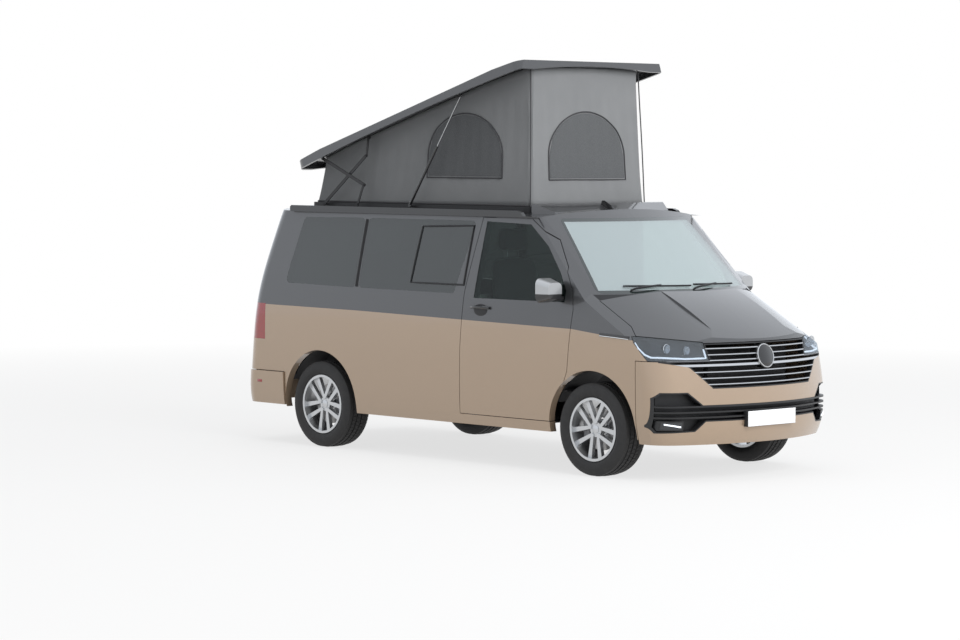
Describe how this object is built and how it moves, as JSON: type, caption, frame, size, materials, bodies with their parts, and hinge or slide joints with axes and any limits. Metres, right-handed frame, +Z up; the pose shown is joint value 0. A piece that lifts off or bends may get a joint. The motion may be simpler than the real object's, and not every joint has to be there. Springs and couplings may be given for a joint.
{
  "type": "camper van",
  "caption": "Panel-van camper with a front-rising elevating roof, tent canopy, hinged doors, bonnet and tailgate, steered wheels.",
  "frame": {"origin": "on the ground under the centre of the van's length and width", "axes": "+Y along the van towards its back, +Z up, +X towards its left side"},
  "size_m": [2.3, 4.9075, 3.0485],
  "materials": {
    "body_paint": "two-tone metallic: dark grey above the belt line, copper beige below it",
    "roof_paint": "dark grey metallic",
    "black_plastic": "grained black",
    "roof_plastic": "grained dark grey",
    "cabin_plastic": "soft grained",
    "mirror_cap": "silver paint",
    "lamp_glass": "clear lens",
    "glass": "tinted safety glass",
    "floor_coating": "black underbody coating",
    "chassis_steel": "dark coated steel",
    "cast_metal": "cast",
    "steel": "grey coated steel",
    "bright_steel": "ground rod",
    "canopy_fabric": "mid grey woven tent cloth",
    "seat_fabric": "dark grey upholstery",
    "cabinet_board": "light laminate",
    "wheel_alloy": "silver lacquered",
    "tyre_rubber": "black rubber"
  },
  "bodies": {
    "van": {"body_shell": "body_paint", "bumpers": "body_paint", "scuttle": "black_plastic", "grille": "black_plastic", "lamps": "lamp_glass", "fixed_glass": "glass", "sliding_door": "body_paint", "floor_pan": "floor_coating", "roof_frame": "roof_plastic", "canopy": "canopy_fabric", "roof_rails": "black_plastic", "dashboard": "cabin_plastic", "seats": "seat_fabric", "cupboard": "cabinet_board", "engine": "cast_metal", "underbody": "floor_coating", "front_subframe": "chassis_steel", "rear_axle": "chassis_steel"},
    "bonnet": {"bonnet": "body_paint"},
    "tailgate": {"tailgate": "body_paint", "tailgate_glass": "glass"},
    "door_right": {"door_right": "body_paint", "door_glass_right": "glass", "mirror_right": "mirror_cap"},
    "door_left": {"door_left": "body_paint", "door_glass_left": "glass", "mirror_left": "mirror_cap"},
    "roof": {"roof_panel": "roof_paint"},
    "stay_lower": {"stay_lower": "steel"},
    "stay_upper": {"stay_upper": "steel"},
    "link_upper": {"link_upper": "steel"},
    "link_lower": {"link_lower": "steel"},
    "strut_tube": {"strut_tube": "steel"},
    "strut_rod": {"strut_rod": "bright_steel"},
    "steering_wheel": {"steering_wheel": "cabin_plastic"},
    "knuckle_right": {"knuckle_right": "chassis_steel"},
    "knuckle_left": {"knuckle_left": "chassis_steel"},
    "wheel_front_right": {"rim_front_right": "wheel_alloy", "tyre_front_right": "tyre_rubber"},
    "wheel_front_left": {"rim_front_left": "wheel_alloy", "tyre_front_left": "tyre_rubber"},
    "wheel_rear_right": {"rim_rear_right": "wheel_alloy", "tyre_rear_right": "tyre_rubber"},
    "wheel_rear_left": {"rim_rear_left": "wheel_alloy", "tyre_rear_left": "tyre_rubber"}
  },
  "joints": [
    {"name": "bonnet_hinge", "type": "hinge", "parent": "van", "child": "bonnet", "pos_m": [0, -1.545, 1.285], "axis": [-1, 0, 0], "range_deg": [0, 55]},
    {"name": "tailgate_hinge", "type": "hinge", "parent": "van", "child": "tailgate", "pos_m": [0, 2.152, 1.858], "axis": [1, 0, 0], "range_deg": [0, 88]},
    {"name": "door_right_hinge", "type": "hinge", "parent": "van", "child": "door_right", "pos_m": [-0.951, -1.356, 0.9], "axis": [0, 0, 1], "range_deg": [0, 68]},
    {"name": "door_left_hinge", "type": "hinge", "parent": "van", "child": "door_left", "pos_m": [0.951, -1.356, 0.9], "axis": [0, 0, -1], "range_deg": [0, 68]},
    {"name": "roof_lift", "type": "hinge", "parent": "van", "child": "roof", "pos_m": [0, 2.938, 2.334], "axis": [1, 0, 0], "range_deg": [0, 17], "deforming": ["canopy"]},
    {"name": "stay_lower_pivot", "type": "hinge", "parent": "van", "child": "stay_lower", "pos_m": [0, 1.675, 1.932], "axis": [1, 0, 0], "range_deg": [0, 38.55]},
    {"name": "stay_upper_pivot", "type": "hinge", "parent": "roof", "child": "stay_upper", "pos_m": [0, 1.68709, 2.30235], "axis": [1, 0, 0], "range_deg": [-40.31, 0]},
    {"name": "link_upper_pivot", "type": "hinge", "parent": "roof", "child": "link_upper", "pos_m": [0, 1.1528, 2.4657], "axis": [1, 0, 0], "range_deg": [-118.31, 0]},
    {"name": "link_lower_pivot", "type": "hinge", "parent": "van", "child": "link_lower", "pos_m": [0, 1.244, 1.932], "axis": [1, 0, 0], "range_deg": [0, 67.74]},
    {"name": "strut_pivot", "type": "hinge", "parent": "van", "child": "strut_tube", "pos_m": [0, 0.66, 1.932], "axis": [1, 0, 0], "range_deg": [0, 57.07]},
    {"name": "strut_slide", "type": "slide", "parent": "strut_tube", "child": "strut_rod", "axis": [0, -0.5598, 0.8286], "range_m": [-0.4509, 0]},
    {"name": "steer_right", "type": "hinge", "parent": "van", "child": "knuckle_right", "pos_m": [-0.738, -1.544, 0.345], "axis": [0, 0, 1], "range_deg": [-35, 35]},
    {"name": "steer_left", "type": "hinge", "parent": "van", "child": "knuckle_left", "pos_m": [0.738, -1.544, 0.345], "axis": [0, 0, 1], "range_deg": [-36, 36]},
    {"name": "steering_wheel_turn", "type": "hinge", "parent": "van", "child": "steering_wheel", "pos_m": [-0.39, -0.9, 1.15], "axis": [0, -0.8191, -0.5736], "range_deg": [-540, 540]},
    {"name": "spin_front_right", "type": "hinge", "parent": "knuckle_right", "child": "wheel_front_right", "pos_m": [-0.814, -1.544, 0.345], "axis": [1, 0, 0], "continuous": true},
    {"name": "spin_front_left", "type": "hinge", "parent": "knuckle_left", "child": "wheel_front_left", "pos_m": [0.814, -1.544, 0.345], "axis": [1, 0, 0], "continuous": true},
    {"name": "spin_rear_right", "type": "hinge", "parent": "van", "child": "wheel_rear_right", "pos_m": [-0.814, 1.456, 0.345], "axis": [1, 0, 0], "continuous": true},
    {"name": "spin_rear_left", "type": "hinge", "parent": "van", "child": "wheel_rear_left", "pos_m": [0.814, 1.456, 0.345], "axis": [1, 0, 0], "continuous": true}
  ],
  "couplings": [
    {"joint": "stay_lower_pivot", "follows": "roof_lift", "ratio": 2.2233},
    {"joint": "stay_upper_pivot", "follows": "roof_lift", "ratio": -2.3249},
    {"joint": "link_upper_pivot", "follows": "roof_lift", "ratio": -6.8228},
    {"joint": "link_lower_pivot", "follows": "roof_lift", "ratio": 3.9064},
    {"joint": "strut_pivot", "follows": "roof_lift", "ratio": 3.2915},
    {"joint": "strut_slide", "follows": "roof_lift", "m_per_rad": -1.5046},
    {"joint": "steer_left", "follows": "steer_right", "ratio": 1},
    {"joint": "steering_wheel_turn", "follows": "steer_right", "ratio": 15}
  ]
}
